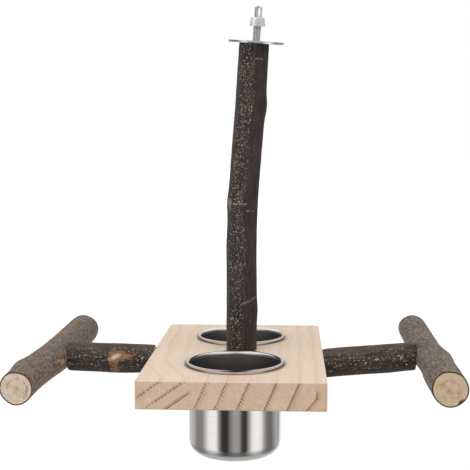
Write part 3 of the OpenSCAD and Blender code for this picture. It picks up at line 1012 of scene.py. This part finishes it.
def make_branches():
    dark_rim = bark_rim("dark_bark_edge", *DARK_RIM)
    dark_wood = sawn_wood("sawn_dark_branch", *DARK_SAWN, (0, 0), 6.0)
    skin = bark(
        "post_bark", POST_TONES, POST_RADIUS, POST_BANDS, POST_MARKS, speck=1.05, share=0.85,
        streak=0.7,
    )
    top_plane = (-WASHER_THICKNESS * STUD_AXIS, STUD_AXIS)
    branch("post", 2, "post_bark", (skin, dark_rim, dark_wood), POST_PROUD, top_plane)

    right_end = (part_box("right_arm")[1].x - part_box("right_arm")[0].x) * PER_MM
    for node, bands, share, marks, contact_shadow_end, creases in (
        ("left_arm", LEFT_BANDS, 0.78, LEFT_ARM_MARKS, 0.0, (0.1, 0.85)),
        ("right_arm", RIGHT_BANDS, 0.75, RIGHT_ARM_MARKS, right_end, (0.85, 0.3)),
    ):
        skin = bark(
            node + "_bark", ARM_TONES, ARM_RADIUS, bands, marks, speck=1.15, share=share,
            streak=0.8, contact_shadow_end=contact_shadow_end,
        )
        branch(node, 0, "arm_bark", (skin, dark_rim, dark_wood), ARM_PROUD, creases=creases)

    bruise = (6.6, -8.0, 2.6, 1.5, 45)
    for node, tones, marks, edge, sawn in (
        (
            "left_crossbar", LEFT_BAR_TONES, LEFT_BAR_MARKS, LEFT_RIM,
            (*LEFT_SAWN, (0.6, -0.4), 7.0),
        ),
        (
            "right_crossbar", RIGHT_BAR_TONES, RIGHT_BAR_MARKS, RIGHT_RIM,
            (*RIGHT_SAWN, (-0.8, -0.9), 6.4, bruise),
        ),
    ):
        skin = bark(
            node + "_bark", tones, BAR_RADIUS, BAR_BANDS, marks, speck=1.7, share=0.4, streak=0.3,
            net=1.0,
        )
        rim = bark_rim(node + "_edge", *edge)
        branch(node, 1, "crossbar_bark", (skin, rim, sawn_wood("sawn_" + node, *sawn)), BAR_PROUD)


# Cups


def make_cup(node, steel):
    """Spun cup: a straight wall, a rounded base and a rim rolled outwards over the board."""
    low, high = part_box(node)
    middle = Vector(((low.x + high.x) / 2, (low.y + high.y) / 2, 0.0))
    rim_r = (high.x - low.x) / 2
    body_r = rim_r - RIM_OVERHANG
    arch_r = (rim_r - body_r + CUP_SHEET) / 2
    arch_z = high.z - arch_r
    select_none()
    bpy.ops.mesh.primitive_cylinder_add(
        vertices=96, radius=body_r, depth=arch_z - low.z,
        location=(middle.x, middle.y, (arch_z + low.z) / 2),
    )
    cup = begin(node + "_spun")
    pick_faces(cup, lambda centre, normal: normal.z > 0.9)
    bpy.ops.mesh.delete(type="ONLY_FACE")
    pick_edges(cup, lambda a, b: max(a.z, b.z) < low.z + MM)
    bpy.ops.mesh.bevel(offset=CUP_BASE_ROUND, segments=10, profile=0.5, affect="EDGES")
    pick_faces(cup, lambda centre, normal: normal.z < -0.9999)
    inset(*CUP_BASE_INSETS)
    pick_edges(cup, lambda a, b: min(a.z, b.z) > arch_z - 0.1 * MM)
    reach, height = body_r, arch_z
    for step in range(1, RIM_STEPS + 1):
        rolled = math.radians(180 * step / RIM_STEPS)
        next_reach = body_r + (arch_r - CUP_SHEET / 2) * (1 - math.cos(rolled))
        next_height = arch_z + (arch_r - 0.02 * MM) * math.sin(rolled)
        extrude((0, 0, next_height - height))
        resize(next_reach / reach, next_reach / reach, 1, middle)
        reach, height = next_reach, next_height
    extrude((0, 0, BOARD_TOP.z + RIM_GAP - height))
    face_outwards()
    apply_modifier(cup, "SOLIDIFY", thickness=CUP_SHEET, offset=-1.0)
    apply_modifier(cup, "SUBSURF", levels=1, render_levels=1)
    paint(cup, steel)
    finish_piece(cup, node, "stainless", node)


# Cage clamp: pieces are built upright round the origin and then leant onto the stud's axis


def along_stud(node):
    """The lowest and highest place of a CAD node along the stud, and its greatest radius."""
    points = [v.co for v in frame["nodes"][node].data.vertices]
    heights = [p.dot(STUD_AXIS) for p in points]
    radius = max((p - p.dot(STUD_AXIS) * STUD_AXIS).length for p in points)
    return min(heights), max(heights), radius


def tube(name, outer, low, high, sides):
    """An upright ring with a hole for the stud."""
    select_none()
    bpy.ops.mesh.primitive_cylinder_add(
        vertices=sides, radius=outer, depth=high - low, location=(0, 0, (low + high) / 2),
        end_fill_type="NOTHING",
    )
    piece = begin(name)
    pick_edges(piece, lambda a, b: min(a.z, b.z) > high - 0.01 * MM)
    share = STUD_HOLE / outer
    extrude((0, 0, 0))
    resize(share, share, 1)
    extrude((0, 0, low - high))
    extrude((0, 0, 0))
    resize(1 / share, 1 / share, 1)
    bpy.ops.mesh.select_all(action="SELECT")
    bpy.ops.mesh.remove_doubles(threshold=0.01 * MM)
    face_outwards()
    return piece


def finish_on_stud(piece, zinc, body, node):
    """Leans an upright piece onto the stud's axis and finishes it."""
    edit_all()
    lean_on_stud()
    paint(piece, zinc)
    finish_piece(piece, body, "zinc", node)


def make_washer(zinc):
    """The wide seat washer, with the rounded edges that punching leaves."""
    low, high, radius = along_stud("seat_washer")
    washer = tube("seat_washer_pressed", radius, low, high, 96)
    apply_modifier(
        washer, "BEVEL", width=WASHER_EDGE, segments=4, limit_method="ANGLE",
        angle_limit=math.radians(40),
    )
    finish_on_stud(washer, zinc, "seat_washer", "seat_washer")


def make_stud(zinc):
    """The hanger bolt: a machine thread above the post and a coarse wood thread inside it."""
    low, high, radius = along_stud("hanger_bolt")
    post_top = along_stud("seat_washer")[0]
    heights = [
        *np.arange(low, post_top, WOOD_THREAD_PITCH / THREAD_STEPS),
        *np.arange(post_top, high, THREAD_PITCH / THREAD_STEPS), high,
    ]
    select_none()
    bpy.ops.mesh.primitive_circle_add(vertices=32, radius=radius, location=(0, 0, low))
    stud = begin("hanger_bolt_threaded")
    for below, above in zip(heights, heights[1:]):
        extrude((0, 0, above - below))
    bpy.ops.mesh.edge_face_add()
    pick_edges(stud, lambda a, b: max(a.z, b.z) < low + 0.01 * MM)
    bpy.ops.mesh.edge_face_add()
    face_outwards()
    for vertex in stud.data.vertices:
        x, y, z = vertex.co
        lead = math.atan2(y, x) / (2 * math.pi)
        if z > post_top:
            wave = abs((z / THREAD_PITCH - lead) % 1.0 - 0.5) * 2
            tip = radius + 0.1 * MM - max(0.0, z - high + 0.9 * MM)
            reach = min(radius - THREAD_DEPTH * wave, tip)
        else:
            wave = min(1.0, abs((z / WOOD_THREAD_PITCH - lead) % 1.0 - 0.5) * 3.2)
            reach = min(radius - WOOD_THREAD_DEPTH * wave, 0.4 * MM + (z - low) * 0.65)
        vertex.co = (x * reach / radius, y * reach / radius, z)
    finish_on_stud(stud, zinc, "stand", "hanger_bolt")


def make_wing_nut(zinc):
    """A cast wing nut: a tapered hub with two ears, seen edge-on from the front."""
    foot = along_stud("wing_nut")[0]
    top = foot + NUT_HUB_HEIGHT
    nut = tube("wing_nut_cast", NUT_HUB_RADIUS, foot, top, 16)

    def pick_ring(height, low_r, high_r):
        pick_edges(nut, lambda *ends: all(
            abs(end.z - height) < 0.1 * MM and low_r < end.xy.length < high_r for end in ends
        ))

    pick_ring(top, 5 * MM, 7 * MM)
    resize(NUT_TAPER, NUT_TAPER, 1)
    for height in (foot, top):
        for low_r, high_r in ((0, 4 * MM), (4 * MM, 7 * MM)):
            pick_ring(height, low_r, high_r)
            bpy.ops.transform.edge_crease(value=0.6)
    for side in (1, -1):
        pick_faces(nut, lambda centre, normal: normal.y * side > 0.9 and centre.y * side > 4 * MM)
        for before, after in zip(WING_SECTIONS, WING_SECTIONS[1:]):
            out, level, half, thick = (after[i] * MM for i in range(4))
            extrude((0, side * (out - before[0] * MM), level - before[1] * MM))
            centre = (0, side * out, foot + level)
            resize(thick / (before[3] * MM), 1, half / (before[2] * MM), centre)
    face_outwards()
    apply_modifier(nut, "SUBSURF", levels=3, render_levels=3)
    edit_all()
    turn("Z", NUT_TURN)
    finish_on_stud(nut, zinc, "wing_nut", "wing_nut")


# Stage, lamps and camera

# What metal sees round it, by degrees from the front towards the right: soft white cards with
# dark gaps between them

LOW_CARDS = (
    (-180, 0.8), (-150, 0.8), (-124, 0.75), (-108, 0.65), (-96, 0.36), (-84, 0.36), (-73, 0.85),
    (-63, 1.4), (-44, 1.45), (-37, 0.5), (-29, 0.06), (-15, 0.05), (-8, 0.3), (2, 0.55),
    (13, 0.5), (20, 0.08), (30, 0.05), (38, 0.6), (47, 1.4), (60, 1.5), (69, 1.3), (80, 0.5),
    (92, 0.2), (102, 0.38), (116, 0.62), (138, 0.5), (156, 0.8), (180, 0.8),
)
HIGH_CARDS = (
    (-180, 0.9), (-146, 0.4), (-112, 0.18), (-78, 0.22), (-58, 1.0), (-30, 1.25), (-8, 0.95),
    (0, 0.5), (8, 0.95), (30, 1.25), (58, 1.0), (78, 0.2), (112, 0.16), (146, 0.4), (180, 0.9),
)
BRIGHTEST = 1.6

# On the floor the cards end this far in front of the front cup, at a line that curves towards
# it, in metres and by the square of the distance to the side

CARDS_END = 0.104
CARDS_CURVE = 3.8


def cards(g, x, y, table, spread=1.0):
    """The tone of the room in a direction, as metal sees it; a spread under 1 widens the cards."""
    share = x.angle(y * -1.0) * spread / (2 * math.pi) + 0.5
    stops = [((place + 180) / 360, tone / BRIGHTEST) for place, tone in table]
    return g.ramp(share, stops) * BRIGHTEST


def make_stage():
    """A pale floor far below the hung perch, white where the camera sees it."""
    select_none()
    floor_place = (0, 0, cad_box[0].z - FLOOR_DROP)
    bpy.ops.mesh.primitive_plane_add(size=FLOOR_SIZE, location=floor_place)
    floor = bpy.context.object
    floor.name = "floor"
    bpy.ops.object.transform_apply(location=True, rotation=True, scale=True)
    f = Finish("pale_floor")
    x, y, _ = f.parts(f.moved(f.place(), location=(-BOARD_TOP.x, 0.0, 0.0)))
    away = distance(x, y)
    camera, glossy, through = f.ray_kinds()
    # The lamps fade far from the object, so the floor's own white rises there
    white = f.mix(away.between(0.4, 2.2), grey(0.3), grey(0.75))
    f.set(
        Base_Color=rgb(236, 236, 236), Roughness=0.9, Emission_Strength=1.0,
        Emission_Color=f.mix(camera.larger(through), grey(0.0), white),
    )
    # Towards the cups the cards widen, so that their reflections stay upright on a rounded
    # base, and they end at a thin dark line with a pale floor behind it
    reach = y - y.larger(-CUP_AXIS).smaller(CUP_AXIS)
    spread = (distance(x, reach) * 2.4 + 0.45).smaller(1.0)
    behind = reach + CARDS_END - x * x * CARDS_CURVE
    line = behind.within(0.018, 0.014)
    middle = behind.between(0.02, 0.032)
    reflected = cards(f, x, reach, LOW_CARDS, spread) * (1 - line * 0.9) * (1 - middle) + middle
    mirrored = f.node("ShaderNodeEmission", None, (WHITE, reflected))
    shader = f.join(glossy, Signal(f, f.shader.outputs[0]), mirrored)
    f.feed(f.tree.nodes["Material Output"].inputs[0], shader)
    paint(floor, f.material)


def make_world():
    """A soft white room. The camera sees it white, and metal sees its cards and gaps."""
    world = bpy.data.worlds.new("studio")
    bpy.context.scene.world = world
    world.use_nodes = True
    g = Graph(world.node_tree)
    x, y, z = g.parts(g.node("ShaderNodeTexCoord", None, (), "Generated"))
    camera, glossy, through = g.ray_kinds()
    ceiling = z.between(0.25, 0.5)
    above = z.between(-0.03, 0.05)
    walls = cards(g, x, y, LOW_CARDS) * (1 - above) + cards(g, x, y, HIGH_CARDS) * above
    # Right overhead is a dark gap, which draws the thin line along the front of each rim
    gap = ((x * x * 11.0 + y * y * 3.2) ** 0.5).between(1.1, 0.9)
    reflected = (walls * (1 - ceiling) + ceiling * 1.35) * (1 - gap * z.between(0.3, 0.5) * 0.95)
    room, mirrored, shown = (
        g.node("ShaderNodeBackground", None, (WHITE, strength))
        for strength in (ROOM_LIGHT, reflected, 1.0)
    )
    shader = g.join(camera.larger(through), g.join(glossy, room, mirrored), shown)
    g.feed(world.node_tree.nodes["World Output"].inputs[0], shader)


# Soft lamps that look at the board: azimuth, elevation, distance, width, height and watts.
# Metal sees the cards in place of them.

LAMPS = {
    "left_softbox": (-50, 20, 1.2, 0.8, 1.3, 5),
    "right_softbox": (55, 15, 1.2, 0.8, 1.3, 4),
    "top_softbox": (-10, 72, 1.3, 1.2, 1.2, 6),
}


def make_lamps():
    target = BOARD_TOP + Vector((0, 0, 0.05))
    for name, (azimuth, elevation, far, width, height, power) in LAMPS.items():
        a, e = math.radians(azimuth), math.radians(elevation)
        away = Vector((math.sin(a) * math.cos(e), -math.cos(a) * math.cos(e), math.sin(e)))
        light = bpy.data.lights.new(name, "AREA")
        light.shape = "RECTANGLE"
        light.size, light.size_y = width, height
        light.energy = power
        lamp = bpy.data.objects.new(name, light)
        lamp.location = target + away * far
        lamp.rotation_mode = "QUATERNION"
        lamp.rotation_quaternion = (-away).to_track_quat("-Z", "Y")
        lamp.visible_glossy = False
        bpy.context.scene.collection.objects.link(lamp)


# The photograph's view: the camera's place from the middle of the board's top, in metres, its
# lens in millimetres, and its turns in degrees

CAMERA_PLACE = Vector((0.0354, -0.7181, 0.1481))
CAMERA_LENS = 78.14
CAMERA_DOWN = 5.231
CAMERA_LEFT = 3.014


def make_camera():
    camera = bpy.data.objects.new("camera", bpy.data.cameras.new("camera"))
    bpy.context.scene.collection.objects.link(camera)
    camera.data.sensor_width = 36.0
    camera.data.lens = CAMERA_LENS
    camera.data.clip_start = 0.01
    camera.location = BOARD_TOP + CAMERA_PLACE
    camera.rotation_euler = (math.radians(90 - CAMERA_DOWN), 0.0, math.radians(CAMERA_LEFT))
    bpy.context.scene.camera = camera


def dress_cad_nodes(pine, zinc):
    """The board and the screws keep their CAD shape and get their finish."""
    for node, piece in frame["nodes"].items():
        if not piece.hide_render:
            paint(piece, pine if node == "board" else zinc)


make_camera()
make_branches()
steel = spun_steel()
for cup_node in ("cup_front", "cup_back"):
    make_cup(cup_node, steel)
make_washer(zinc_plate("washer_zinc", 1.0, 0.14, 0.62))
make_stud(zinc_plate("thread_zinc", 1.0, 0.2, 0.68))
make_wing_nut(zinc_plate("cast_zinc", 0.5, 0.2, 0.84))
dress_cad_nodes(pine_board(), zinc_plate("zinc_plate", 1.0, 0.12))
make_stage()
make_world()
make_lamps()
bpy.context.scene.view_settings.view_transform = "Standard"
